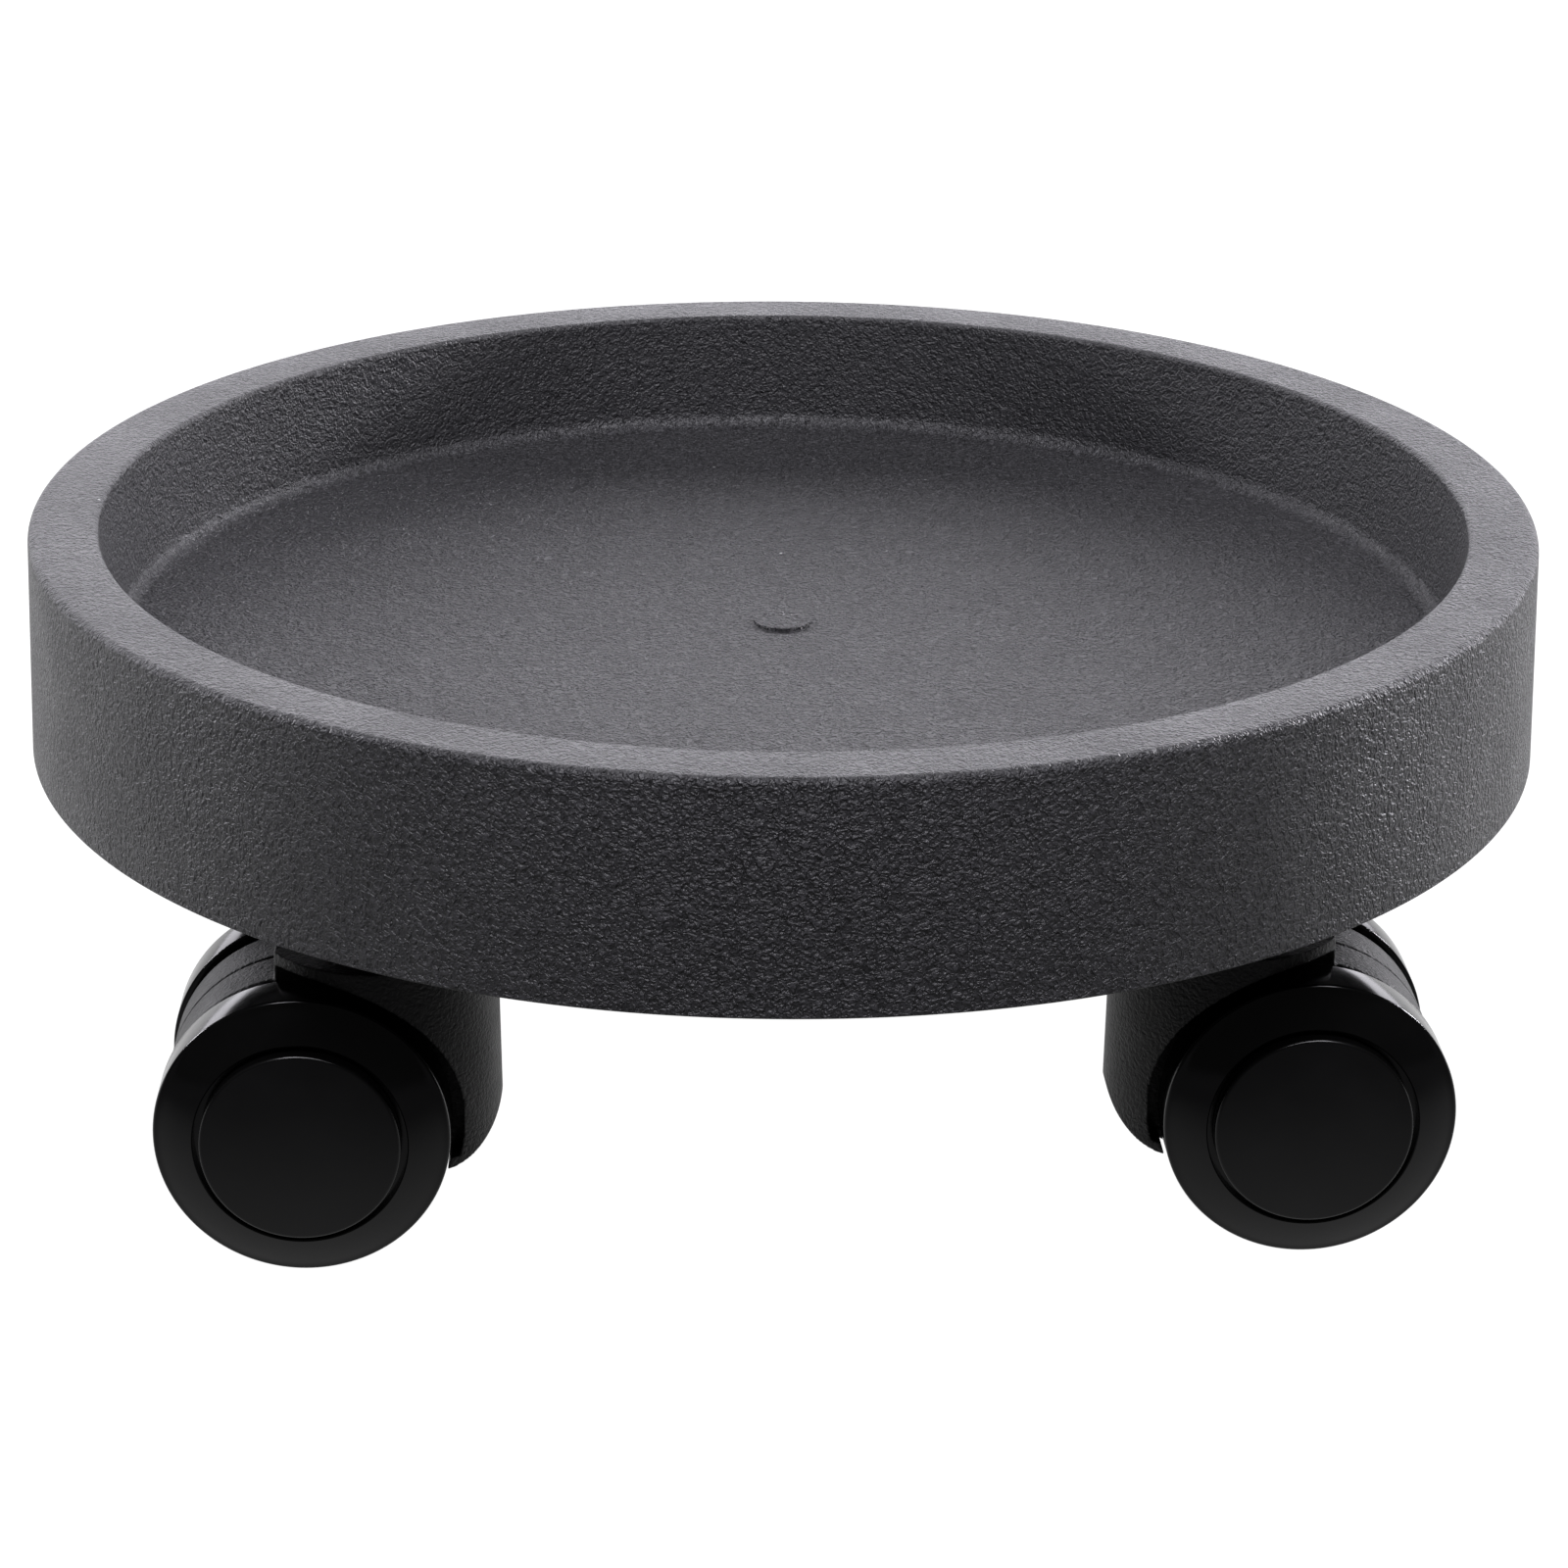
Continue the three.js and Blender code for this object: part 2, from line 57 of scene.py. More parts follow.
# mesh making, in millimetres and degrees
ON_AXIS = 1e-6
JOIN_DISTANCE = 1e-5
MERGE_DISTANCE = 0.001
OVERRUN = 1.0
PART_CREASE = 30
ROUND_STEPS = 8
SMALL_ROUND_STEPS = 4

# files and joints
CASTERS = ("front_left", "front_right", "rear_left", "rear_right")
JOINTS = {joint["name"]: joint for joint in frame["record"]["behaviour"]["joints"]}

# tray
TRAY_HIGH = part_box("tray")[1]
RIM_Z = TRAY_HIGH.z / MM
SKIRT_BOTTOM_RADIUS = TRAY_HIGH.x / MM
SKIRT_FLARE = 1.0
RIM_OUTER_RADIUS = SKIRT_BOTTOM_RADIUS - SKIRT_FLARE
RIM_INNER_RADIUS = 123.0
RIM_OUTER_ROUND = 1.5
RIM_INNER_ROUND = 1.0
RIM_INNER_STEPS = 6
SKIRT_EDGE_ROUND = 0.4
SKIRT_HEIGHT = 40.3
SKIRT_BOTTOM_Z = RIM_Z - SKIRT_HEIGHT
WALL = 2.5
RECESS_DEPTH = 22.7
FLOOR_TOP_Z = RIM_Z - RECESS_DEPTH
FLOOR_UNDER_Z = FLOOR_TOP_Z - WALL
BOSS_HEIGHT = 0.6
BOSS_TOP_Z = FLOOR_TOP_Z + BOSS_HEIGHT
FLOOR_RADIUS = 118.0
FLOOR_FILLET = 3.0
FILLET_STEPS = 10
BOSS_RADIUS = 5.3
BOSS_ROUND = 0.2
BOSS_DRAFT = 0.05
DISH_RADIUS = 3.6
DISH_DEPTH = 0.25
DISH_SLOPE = 0.5
TRAY_SEGMENTS = 288
RING_RIB_SEGMENTS = 144
TRAY_CREASE = 32

# mould grain of the tray: radii in millimetres, shares of the full depth, depths in metres
GRAIN_WALL_RADIUS = 120.5
GRAIN_RIM_RADIUS = 124.5
WALL_GRAIN = 0.2
RIM_GRAIN = 0.44
GRAIN_DEPTH = 0.0009
PIT_DEPTH = 0.00015
PORE_DEPTH = 0.0002

# ribs and sockets under the tray
RIB = 2.2
FLOOR_RIB_HEIGHT = 9.0
FLOOR_RIBS = 8
HUB_RING_RADIUS = 16.0
RING_RIB_RADIUS = 62.0
RING_RIB_HEIGHT = 6.0
RIM_RIBS = 16
RIM_RIB_BOTTOM_Z = 88.0
SOCKET_RADIUS = 11.0
SOCKET_BORE = 5.8
SOCKET_BOTTOM_Z = 59.7
SOCKET_BORE_TOP_Z = 79.4
GUSSET_REACH = 11.0
GUSSET_HEIGHT = 15.0
GUSSETS = 4
GUSSET_TURN = 45

# caster body
TRAIL = 12.5
WHEEL_RADIUS = 25.0
HOOD_RADIUS = 20.5
HOOD_TOP_RADIUS = 19.9
HOOD_TOP_Z = 54.0
HOOD_BACK = 17.2
HOOD_LOW_Z = 16.6
HOOD_LOW_ROUND = 8.8
HOOD_CORNER_STEPS = 16
WELL_RADIUS = 27.0
LIP_RADIUS = 25.5
LIP_TOP_Z = 18.6
WEB_HALF_WIDTH = 10.3
WEB_RADIUS = 24.3
WEB_CHAMFER = 0.6
WEB_BOTTOM_Z = 8.0
WEB_BOTTOM_FRONT = 8.0
SEAM_HALF_WIDTH = 0.35
SEAM_DEPTH = 0.5
NECK_RADIUS = 10.0
NECK_TOP_Z = 57.0
STEM_BORE = 4.35
STEM_BORE_BOTTOM_Z = 33.6
AXLE_BORE = 3.3
BODY_VOXEL = 0.25
BODY_SMOOTHING = 3
SMOOTH_FACTOR = 0.5
BODY_KEEP = 0.22
BODY_CREASE = 60
BODY_SEGMENTS = 128

# wheels and caps
WHEEL_INNER_Y = 12.6
WHEEL_CROWN_Y = 24.4
FACE_SPHERE = 48.0
TREAD_THICKNESS = 2.8
FACE_INNER_Y = 19.0
WHEEL_HUB_RADIUS = 7.0
WHEEL_HUB_Y = 10.7
WHEEL_BORE = 3.35
WHEEL_ROUND = 0.7
TREAD_EDGE_ROUND = 0.3
WHEEL_INSIDE_ROUND = 1.0
POCKET_CHAMFER = 0.2
FACE_STEPS = 12
POCKET_RADIUS = 18.0
POCKET_FLOOR_Y = 22.6
CAP_RADIUS = 16.9
CAP_BACK_Y = 22.9
CAP_FRONT_Y = 25.8
CAP_ROUND = 0.6
CAP_CHAMFER = 0.3
WHEEL_SEGMENTS = 160

# steel parts
STEEL_SEGMENTS = 64
AXLE_RADIUS = 3.0
AXLE_HALF_LENGTH = 22.2
STEM_RADIUS = 5.0
STEM_TOP_Z = 79.0
JOURNAL_RADIUS = 4.0
JOURNAL_BOTTOM_Z = 34.0
COLLAR_RADIUS = 9.0
COLLAR_BOTTOM_Z = 57.4
COLLAR_TOP_Z = 59.4
GROOVE_RADIUS = 4.2
GROOVE_BOTTOM_Z = 69.0
GROOVE_TOP_Z = 76.0
RING_RADIUS = 5.5
RING_GAP = 0.3
RING_SLOT = 1.6
STEEL_CHAMFER = 0.5

# camera and studio: places and sizes in metres, lens and sensor in millimetres
CAMERA_PLACE = Vector((-0.0485, -0.8022, 0.3699))
CAMERA_TARGET = Vector((-0.001, -0.0242, 0.06))
CAMERA_ROLL = math.radians(0.464)
CAMERA_LENS = 107.04
CAMERA_SENSOR = 36.0
STUDIO_TINT = (1.0, 0.985, 1.05)
WORLD_LIGHT = 0.063
FLOOR_HALF_SIZE = 12
GLOW_FRONT_Y = -0.20
GLOW_BACK_Y = -0.02
GLOW_FRONT = 0.02
GLOW_BACK = 0.8
LIGHT_TARGET = (0, 0, 0.06)
# each light: name, place, width, height (metres), power (watts)
LIGHTS = (
    ("back_panel", (0, 1.7, 0.6), 2.6, 1.1, 24),
    ("top_box", (0.1, 0.35, 1.5), 1.2, 0.9, 4.5),
    ("left_panel", (-1.3, 0.9, 0.5), 0.3, 0.3, 10),
    ("right_panel", (1.3, 0.8, 0.5), 0.3, 0.3, 18),
    ("front_fill", (0, -0.9, 1.7), 1.4, 0.8, 45),
)


# ------------------------------------------------------------------ mesh helpers
def arc(cx, cy, radius, start, end, steps):
    """Points on an arc in degrees, ends included."""
    angles = [math.radians(start + (end - start) * i / steps) for i in range(steps + 1)]
    return [(cx + radius * math.cos(a), cy + radius * math.sin(a)) for a in angles]


def mesh_from(bm, name):
    bmesh.ops.remove_doubles(bm, verts=bm.verts, dist=JOIN_DISTANCE)
    bmesh.ops.recalc_face_normals(bm, faces=bm.faces)
    mesh = bpy.data.meshes.new(name)
    bm.to_mesh(mesh)
    bm.free()
    return mesh


def turned(name, profile, segments, about="Z", closed=False):
    """A turned mesh. The profile lists (radius, height); it closes on itself or meets the axis."""
    bm = bmesh.new()
    rings = []
    for radius, height in profile:
        if radius < ON_AXIS:
            rings.append([bm.verts.new((0, 0, height))] * segments)
            continue
        turns = [2 * math.pi * i / segments for i in range(segments)]
        rings.append([bm.verts.new((radius * math.cos(a), radius * math.sin(a), height)) for a in turns])
    pairs = list(zip(rings, rings[1:]))
    if closed:
        pairs.append((rings[-1], rings[0]))
    for low, high in pairs:
        for i in range(segments):
            k = (i + 1) % segments
            corners = list(dict.fromkeys([low[i], low[k], high[k], high[i]]))
            if len(corners) > 2:
                bm.faces.new(corners)
    if about == "Y":
        bmesh.ops.rotate(bm, verts=bm.verts, matrix=Matrix.Rotation(math.radians(-90), 3, "X"))
    return mesh_from(bm, name)


def extruded(name, outline, half_width):
    """An outline of (x, z) points, extruded from -half_width to +half_width along Y."""
    bm = bmesh.new()
    near = [bm.verts.new((x, -half_width, z)) for x, z in outline]
    far = [bm.verts.new((x, half_width, z)) for x, z in outline]
    bm.faces.new(near)
    bm.faces.new(far[::-1])
    for i in range(len(outline)):
        k = (i + 1) % len(outline)
        bm.faces.new([near[i], far[i], far[k], near[k]])
    return mesh_from(bm, name)


def block(name, low, high):
    outline = [(low[0], low[2]), (high[0], low[2]), (high[0], high[2]), (low[0], high[2])]
    mesh = extruded(name, outline, (high[1] - low[1]) / 2)
    mesh.transform(Matrix.Translation((0, (high[1] + low[1]) / 2, 0)))
    return mesh


def post(name, radius, bottom, top, segments, top_radius=None):
    end = radius if top_radius is None else top_radius
    return turned(name, [(0, bottom), (radius, bottom), (end, top), (0, top)], segments)


def across(name, radius, start, end, segments):
    """A cylinder along Y, centred on the axle."""
    mesh = turned(name, [(0, start), (radius, start), (radius, end), (0, end)], segments, "Y")
    mesh.transform(Matrix.Translation((TRAIL, 0, WHEEL_RADIUS)))
    return mesh


def moved(mesh, matrix):
    mesh.transform(matrix)
    return mesh


def object_of(mesh):
    piece = bpy.data.objects.new(mesh.name, mesh)
    bpy.context.scene.collection.objects.link(piece)
    return piece


def drop(piece):
    mesh = piece.data
    bpy.data.objects.remove(piece)
    bpy.data.meshes.remove(mesh)


def evaluated(piece):
    """The mesh of an object with its modifiers applied."""
    graph = bpy.context.evaluated_depsgraph_get()
    return bpy.data.meshes.new_from_object(piece.evaluated_get(graph))


def combined(mesh, others, operation):
    """A boolean of one mesh with several others, one after another."""
    piece = object_of(mesh)
    for other in others:
        tool = object_of(other)
        modifier = piece.modifiers.new("cut", "BOOLEAN")
        modifier.operation = operation
        modifier.solver = "EXACT"
        modifier.object = tool
        result = evaluated(piece)
        piece.modifiers.clear()
        drop(tool)
        previous, piece.data = piece.data, result
        bpy.data.meshes.remove(previous)
    made = piece.data
    bpy.data.objects.remove(piece)
    return made


def cleaned(mesh):
    """Merges points that a boolean left almost in one place, so that the mesh closes."""
    bm = bmesh.new()
    bm.from_mesh(mesh)
    bmesh.ops.remove_doubles(bm, verts=bm.verts, dist=MERGE_DISTANCE)
    bmesh.ops.dissolve_degenerate(bm, dist=MERGE_DISTANCE, edges=bm.edges)
    bm.to_mesh(mesh)
    bm.free()
    return mesh


def softened(mesh, voxel, rounds, keep):
    """Rounds every edge of a closed mesh the way a mould does, then thins its faces."""
    piece = object_of(mesh)
    remesh = piece.modifiers.new("remesh", "REMESH")
    remesh.mode = "VOXEL"
    remesh.voxel_size = voxel
    smooth = piece.modifiers.new("smooth", "SMOOTH")
    smooth.factor = SMOOTH_FACTOR
    smooth.iterations = rounds
    thin = piece.modifiers.new("thin", "DECIMATE")
    thin.ratio = keep
    made = evaluated(piece)
    drop(piece)
    return made


def finished(mesh, crease):
    """Millimetres to metres, with smooth shading that breaks at edges sharper than the crease."""
    mesh.transform(Matrix.Scale(MM, 4))
    mesh.polygons.foreach_set("use_smooth", [True] * len(mesh.polygons))
    mesh.set_sharp_from_angle(angle=math.radians(crease))
    mesh.update()
    return mesh


# ------------------------------------------------------------------ materials
class Surface:
    """A material whose nodes are added one at a time and joined by name."""

    def __init__(self, name):
        self.material = bpy.data.materials.new(name)
        self.material.use_nodes = True
        self.tree = self.material.node_tree
        self.shader = self.tree.nodes["Principled BSDF"]
        self.place = self.tree.nodes.new("ShaderNodeTexCoord").outputs["Object"]

    def join(self, target, value):
        if isinstance(value, bpy.types.NodeSocket):
            self.tree.links.new(value, target)
        else:
            target.default_value = value

    def add(self, kind, inputs, **settings):
        made = self.tree.nodes.new(kind)
        for key, value in settings.items():
            setattr(made, key, value)
        for key, value in inputs.items():
            self.join(made.inputs[key], value)
        return made

    def noise(self, scale, detail=2.0, distortion=0.0, place=None):
        inputs = {"Vector": place or self.place, "Scale": scale}
        inputs.update({"Detail": detail, "Distortion": distortion})
        return self.add("ShaderNodeTexNoise", inputs).outputs["Fac"]

    def spread(self, value, low, high, to_low=0.0, to_high=1.0):
        inputs = {"Value": value, "From Min": low, "From Max": high, "To Min": to_low, "To Max": to_high}
        return self.add("ShaderNodeMapRange", inputs).outputs["Result"]

    def math(self, operation, first, second):
        return self.add("ShaderNodeMath", {0: first, 1: second}, operation=operation).outputs[0]

    def blend(self, amount, first, second):
        made = self.add("ShaderNodeMix", {0: amount}, data_type="RGBA")
        self.join(made.inputs[6], first)
        self.join(made.inputs[7], second)
        return made.outputs[2]

    def bump(self, height, distance, strength, under=None):
        inputs = {"Height": height, "Distance": distance, "Strength": strength}
        if under is not None:
            inputs["Normal"] = under
        return self.add("ShaderNodeBump", inputs).outputs["Normal"]

    def shade(self, **inputs):
        for key, value in inputs.items():
            self.join(self.shader.inputs[key.replace("_", " ")], value)
        return self.material


def grey(level):
    return (level, level, level, 1.0)


def charcoal(level):
    """A grey with the slight violet cast of the tray's plastic."""
    return (level, 0.985 * level, 1.075 * level, 1.0)


def specks(surface, scale, size, share):
    """A mask of a few tiny spots: one possible spot per cell, and only a share of the cells has one."""
    cells = surface.add("ShaderNodeTexVoronoi", {"Vector": surface.place, "Scale": scale})
    spot = surface.spread(cells.outputs["Distance"], size, size * 0.5)
    chosen = surface.add("ShaderNodeSeparateColor", {"Color": cells.outputs["Color"]}).outputs["Red"]
    return surface.math("MULTIPLY", spot, surface.math("LESS_THAN", chosen, share))


def grain_depth(surface):
    """Depth of the mould grain: full inside the recess wall, shallow on it and medium outside it."""
    flat = surface.add("ShaderNodeMapping", {"Vector": surface.place, "Scale": (1, 1, 0)})
    length = surface.add("ShaderNodeVectorMath", {0: flat.outputs["Vector"]}, operation="LENGTH")
    radius = length.outputs["Value"]
    more = RIM_GRAIN - WALL_GRAIN
    inside = surface.spread(radius, FLOOR_RADIUS * MM, GRAIN_WALL_RADIUS * MM, 1.0, WALL_GRAIN)
    outside = surface.spread(radius, RIM_INNER_RADIUS * MM, GRAIN_RIM_RADIUS * MM, 0.0, more)
    return surface.math("ADD", inside, outside)


def tray_plastic():
    """Charcoal plastic with a leathery mould grain, a painted highlight on the grain's ridges, painted
    shade in its pits, and a few pale specks.
    """
    s = Surface("tray_charcoal_plastic")
    depth = grain_depth(s)
    shown = s.spread(depth, WALL_GRAIN, RIM_GRAIN, 0.3, 1.0)
    worms = s.spread(s.noise(1000, 1.0, 1.0), 0.38, 0.64)
    pits = s.spread(s.noise(900, 1.0, 0.5), 0.33, 0.43)
    pores = s.noise(2800, 2.0)
    cloud = s.spread(s.noise(34, 4.0), 0.35, 0.65)
    base = s.blend(cloud, charcoal(0.024), charcoal(0.030))
    # painted highlight: where the grain is shown, its raised ridges are coloured a lighter charcoal,
    # standing in for light catching them
    base = s.blend(s.math("MULTIPLY", s.spread(worms, 0, 1, 0.0, 0.8), shown), base, charcoal(0.050))
    # painted shade: the grain's pits are coloured a darker charcoal, standing in for shade in the
    # hollows, less so where the grain is shallow
    base = s.blend(s.math("MAXIMUM", pits, s.math("SUBTRACT", 1.0, shown)), charcoal(0.018), base)
    base = s.blend(specks(s, 95, 0.035, 0.35), base, grey(0.42))
    rough = s.spread(s.noise(60, 3.0), 0.3, 0.7, 0.38, 0.47)
    normal = s.bump(s.noise(22, 2.0), 0.0004, 0.35)
    normal = s.bump(worms, s.math("MULTIPLY", depth, GRAIN_DEPTH), 1.0, normal)
    normal = s.bump(pits, PIT_DEPTH, 1.0, normal)
    normal = s.bump(pores, PORE_DEPTH, 1.0, normal)
    return s.shade(Base_Color=base, Roughness=rough, Normal=normal)


def hood_plastic():
    """Black plastic with a fine spark-eroded grain."""
    s = Surface("hood_black_plastic")
    grain = s.noise(1500, 2.0, 0.6)
    base = s.blend(s.spread(s.noise(60, 3.0), 0.35, 0.65), grey(0.0035), grey(0.006))
    base = s.blend(specks(s, 210, 0.05, 0.2), base, grey(0.12))
    rough = s.spread(s.noise(90, 3.0), 0.3, 0.7, 0.42, 0.52)
    normal = s.bump(s.noise(120, 1.0), 0.0002, 0.3)
    normal = s.bump(grain, 0.00032, 1.0, normal)
    return s.shade(Base_Color=base, Roughness=rough, Normal=normal, Specular_IOR_Level=0.25)


def gloss_plastic(name, level, low, high):
    """Smooth black plastic with a faint orange-peel surface, handling haze and a little dust."""
    s = Surface(name)
    haze = s.noise(75, 4.0)
    base = s.blend(s.spread(haze, 0.4, 0.7), grey(level), grey(level * 1.6))
    base = s.blend(specks(s, 160, 0.03, 0.2), base, grey(0.12))
    rough = s.spread(haze, 0.3, 0.7, low, high)
    normal = s.bump(s.noise(260, 1.0), 0.00006, 0.25)
    normal = s.bump(s.noise(2600, 2.0), 0.00001, 0.35, normal)
    return s.shade(Base_Color=base, Roughness=rough, Normal=normal, Specular_IOR_Level=0.3)


def zinc_steel():
    s = Surface("zinc_plated_steel")
    turning = s.add("ShaderNodeMapping", {"Vector": s.place, "Scale": (1, 1, 14)}).outputs["Vector"]
    lines = s.noise(700, 3.0, place=turning)
    base = s.blend(s.noise(80, 3.0), grey(0.50), grey(0.62))
    rough = s.spread(lines, 0.3, 0.7, 0.26, 0.42)
    return s.shade(Base_Color=base, Metallic=1.0, Roughness=rough, Normal=s.bump(lines, 0.00003, 0.3))


def pale_floor():
    """A floor that shows white, lights the object more from behind, and is clear from below."""
    s = Surface("pale_floor")
    depth = s.add("ShaderNodeSeparateXYZ", {"Vector": s.place}).outputs["Y"]
    inputs = {"Value": depth, "From Min": GLOW_FRONT_Y, "From Max": GLOW_BACK_Y}
    inputs.update({"To Min": GLOW_FRONT, "To Max": GLOW_BACK})
    bounced = s.add("ShaderNodeMapRange", inputs, interpolation_type="SMOOTHSTEP").outputs["Result"]
    seen = s.tree.nodes.new("ShaderNodeLightPath").outputs["Is Camera Ray"]
    glow = s.math("MAXIMUM", bounced, seen)
    base = s.blend(s.noise(6, 2.0), grey(0.03), grey(0.04))
    from_below = s.tree.nodes.new("ShaderNodeNewGeometry").outputs["Backfacing"]
    solid = s.math("SUBTRACT", 1.0, from_below)
    s.shade(Base_Color=base, Roughness=0.8, Alpha=solid)
    return s.shade(Emission_Color=grey(1.0), Emission_Strength=glow)


# ------------------------------------------------------------------ tray
def tray_shell():
    slope = (RIM_INNER_RADIUS - FLOOR_RADIUS - FLOOR_FILLET) / (FLOOR_FILLET - RIM_Z + FLOOR_TOP_Z)
    channel_top = RIM_INNER_RADIUS + WALL + slope * WALL
    under_fillet = FLOOR_FILLET + WALL
    inner_skirt = SKIRT_BOTTOM_RADIUS - WALL
    edge, outer, inner = SKIRT_EDGE_ROUND, RIM_OUTER_ROUND, RIM_INNER_ROUND
    profile = [
        (0, FLOOR_UNDER_Z),
        *arc(FLOOR_RADIUS, FLOOR_UNDER_Z + under_fillet, under_fillet, -90, 0, FILLET_STEPS),
        (channel_top, RIM_Z - WALL),
        (RIM_OUTER_RADIUS - WALL, RIM_Z - WALL),
        *arc(inner_skirt + edge, SKIRT_BOTTOM_Z + edge, edge, 180, 270, SMALL_ROUND_STEPS),
        *arc(SKIRT_BOTTOM_RADIUS - edge, SKIRT_BOTTOM_Z + edge, edge, 270, 360, SMALL_ROUND_STEPS),
        *arc(RIM_OUTER_RADIUS - outer, RIM_Z - outer, outer, 0, 90, ROUND_STEPS),
        *arc(RIM_INNER_RADIUS + inner, RIM_Z - inner, inner, 90, 180, RIM_INNER_STEPS),
        *arc(FLOOR_RADIUS, FLOOR_TOP_Z + FLOOR_FILLET, FLOOR_FILLET, 0, -90, FILLET_STEPS),
        (BOSS_RADIUS + BOSS_DRAFT, FLOOR_TOP_Z),
        *arc(BOSS_RADIUS - BOSS_ROUND, BOSS_TOP_Z - BOSS_ROUND, BOSS_ROUND, 0, 90, SMALL_ROUND_STEPS),
        (DISH_RADIUS + DISH_SLOPE, BOSS_TOP_Z), (DISH_RADIUS, BOSS_TOP_Z - DISH_DEPTH / 2),
        (DISH_RADIUS - DISH_SLOPE, BOSS_TOP_Z - DISH_DEPTH),
        (0, BOSS_TOP_Z - DISH_DEPTH),
    ]
    return turned("tray_visual", profile, TRAY_SEGMENTS)


def ring_rib(radius, height):
    low, high = FLOOR_UNDER_Z - height, FLOOR_UNDER_Z + WALL / 2
    inner, outer = radius - RIB / 2, radius + RIB / 2
    profile = [(inner, low), (outer, low), (outer, high), (inner, high)]
    return turned("ring_rib", profile, RING_RIB_SEGMENTS, closed=True)


def spun(mesh, degrees, x=0.0, y=0.0):
    return moved(mesh, Matrix.Translation((x, y, 0)) @ Matrix.Rotation(math.radians(degrees), 4, "Z"))


def floor_rib():
    high = FLOOR_UNDER_Z + WALL / 2
    reach = FLOOR_RADIUS + FLOOR_FILLET + WALL / 2
    low = FLOOR_UNDER_Z - FLOOR_RIB_HEIGHT
    return block("floor_rib", (HUB_RING_RADIUS, -RIB / 2, low), (reach, RIB / 2, high))


def rim_rib():
    near, far = RIM_INNER_RADIUS + WALL / 2, RIM_OUTER_RADIUS - WALL / 2
    return block("rim_rib", (near, -RIB / 2, RIM_RIB_BOTTOM_Z), (far, RIB / 2, RIM_Z - WALL / 2))


def socket_gusset():
    low, high = FLOOR_UNDER_Z - GUSSET_HEIGHT, FLOOR_UNDER_Z + WALL / 2
    near, far = SOCKET_BORE + OVERRUN, SOCKET_RADIUS + GUSSET_REACH
    outline = [(near, high), (near, low), (SOCKET_RADIUS, low), (far, FLOOR_UNDER_Z), (far, high)]
    return extruded("socket_gusset", outline, RIB / 2)


def stem_place(caster):
    place = JOINTS[f"{caster}_swivel"]["pos_m"]
    return place[0] / MM, place[1] / MM


def tray():
    ribs = [ring_rib(HUB_RING_RADIUS, FLOOR_RIB_HEIGHT), ring_rib(RING_RIB_RADIUS, RING_RIB_HEIGHT)]
    ribs += [spun(floor_rib(), 360 * i / FLOOR_RIBS) for i in range(FLOOR_RIBS)]
    ribs += [spun(rim_rib(), 360 * (i + 0.5) / RIM_RIBS) for i in range(RIM_RIBS)]
    bores = []
    for caster in CASTERS:
        x, y = stem_place(caster)
        socket = post("socket", SOCKET_RADIUS, SOCKET_BOTTOM_Z, FLOOR_UNDER_Z + WALL / 2, STEEL_SEGMENTS)
        ribs.append(moved(socket, Matrix.Translation((x, y, 0))))
        turns = [GUSSET_TURN + 360 * i / GUSSETS for i in range(GUSSETS)]
        ribs += [spun(socket_gusset(), turn, x, y) for turn in turns]
        bore = post("bore", SOCKET_BORE, SOCKET_BOTTOM_Z - OVERRUN, SOCKET_BORE_TOP_Z, STEEL_SEGMENTS)
        bores.append(moved(bore, Matrix.Translation((x, y, 0))))
    under = combined(ribs[0], ribs[1:], "UNION")
    solid = combined(tray_shell(), [under], "UNION")
    return finished(cleaned(combined(solid, bores, "DIFFERENCE")), crease=TRAY_CREASE)


# ------------------------------------------------------------------ caster parts
def hood_corner():
    """The rounded lower front corner of the hood, from its tip up to the front wall."""
    x, z = HOOD_LOW_ROUND - HOOD_RADIUS, HOOD_LOW_Z + HOOD_LOW_ROUND
    return arc(x, z, HOOD_LOW_ROUND, 270, 180, HOOD_CORNER_STEPS)


def wheel_well(side):
    start, end = sorted((side * WEB_HALF_WIDTH, side * (HOOD_RADIUS + OVERRUN)))
    reach = 4 * WELL_RADIUS
    well = across("well", WELL_RADIUS, start, end, BODY_SEGMENTS)
    below = block("below", (-reach, -reach, -reach), (reach, reach, LIP_TOP_Z))
    lip = across("lip", LIP_RADIUS, start, end, BODY_SEGMENTS)
    return combined(combined(well, [below], "DIFFERENCE"), [lip], "UNION")


def drum():
    """The upright round drum that the hood is cut from, a little narrower at the top and flat behind."""
    whole = post("drum", HOOD_RADIUS, HOOD_LOW_Z - OVERRUN, HOOD_TOP_Z, BODY_SEGMENTS, HOOD_TOP_RADIUS)
    reach = 2 * HOOD_RADIUS
    behind = block("behind", (HOOD_BACK, -reach, 0), (reach, reach, 2 * HOOD_TOP_Z))
    return combined(whole, [behind], "DIFFERENCE")


def hood():
    back = HOOD_RADIUS + OVERRUN
    outline = [(back, HOOD_LOW_Z), *hood_corner(), (-HOOD_RADIUS, HOOD_TOP_Z), (back, HOOD_TOP_Z)]
    trimmed = combined(drum(), [extruded("trim", outline, back)], "INTERSECT")
    return combined(trimmed, [wheel_well(1), wheel_well(-1)], "DIFFERENCE")


